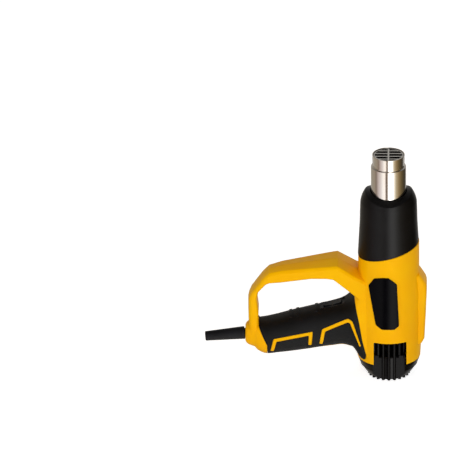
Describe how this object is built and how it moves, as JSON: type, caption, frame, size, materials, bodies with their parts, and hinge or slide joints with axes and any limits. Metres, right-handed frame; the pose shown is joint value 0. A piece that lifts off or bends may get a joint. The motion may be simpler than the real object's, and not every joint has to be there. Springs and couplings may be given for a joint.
{
  "type": "hot air tool",
  "caption": "Pistol-grip hot air tool that stands on its rear face, with a steel nozzle, loop guard and rocker switch.",
  "frame": {"origin": "centre of the flat rear face that the tool stands on", "axes": "+Z along the barrel to the nozzle's mouth, -X towards the handle, -Y out of the side with the bare plate"},
  "size_m": [0.2216, 0.0664, 0.2395],
  "materials": {
    "yellow_abs": "satin moulded ABS",
    "black_nylon": "matte moulded nylon",
    "black_abs": "matte moulded ABS",
    "black_gloss": "smooth black plate",
    "rocker_black": "smooth moulded rocker",
    "grip_tpe": "soft overmoulded grip",
    "boot_pvc": "soft PVC strain relief",
    "stainless": "drawn stainless tube",
    "steel": "bright steel",
    "screw_steel": "blackened screw steel",
    "bronze": "sintered bronze",
    "ferrite": "grey ferrite",
    "steatite": "unglazed steatite ceramic",
    "mica": "pressed mica sheet",
    "resistance_wire": "oxidised resistance wire",
    "glass_epoxy": "green circuit board",
    "brown_pvc": "brown lead",
    "blue_pvc": "blue lead"
  },
  "bodies": {
    "housing": {"left_housing": "yellow_abs", "right_housing": "yellow_abs", "nozzle_cover": "black_nylon", "nozzle_tube": "stainless", "nozzle_grille": "stainless", "rear_cap": "black_abs", "left_grip": "grip_tpe", "right_grip": "grip_tpe", "side_plate": "black_gloss", "cable_boot": "boot_pvc", "switch_body": "black_abs", "switch_pin": "steel", "motor_can": "steel", "motor_end_bell": "black_nylon", "front_bush": "bronze", "rear_bush": "bronze", "magnet_left": "ferrite", "magnet_right": "ferrite", "motor_mount": "black_nylon", "air_duct": "black_nylon", "heater_core": "steatite", "mica_sleeve": "mica", "heater_base": "mica", "heater_coil": "resistance_wire", "thermal_fuse": "steel", "circuit_board": "glass_epoxy", "rectifier": "black_abs", "capacitor": "black_abs", "terminal_block": "black_nylon", "cable_clamp": "black_nylon", "clamp_screw_1": "screw_steel", "clamp_screw_2": "screw_steel", "live_lead": "brown_pvc", "neutral_lead": "blue_pvc", "housing_screw_1": "screw_steel", "housing_screw_2": "screw_steel", "housing_screw_3": "screw_steel", "housing_screw_4": "screw_steel", "housing_screw_5": "screw_steel", "housing_screw_6": "screw_steel"},
    "rotor": {"motor_shaft": "steel", "armature": "steel", "fan_impeller": "black_nylon"},
    "rocker": {"switch_rocker": "rocker_black"}
  },
  "joints": [
    {"name": "rotor_spin", "type": "hinge", "parent": "housing", "child": "rotor", "pos_m": [0, 0, 0.08], "axis": [0, 0, 1], "continuous": true},
    {"name": "rocker_tilt", "type": "hinge", "parent": "housing", "child": "rocker", "pos_m": [-0.05588, 0, 0.07461], "axis": [0, 1, 0], "range_deg": [-8, 8]}
  ]
}
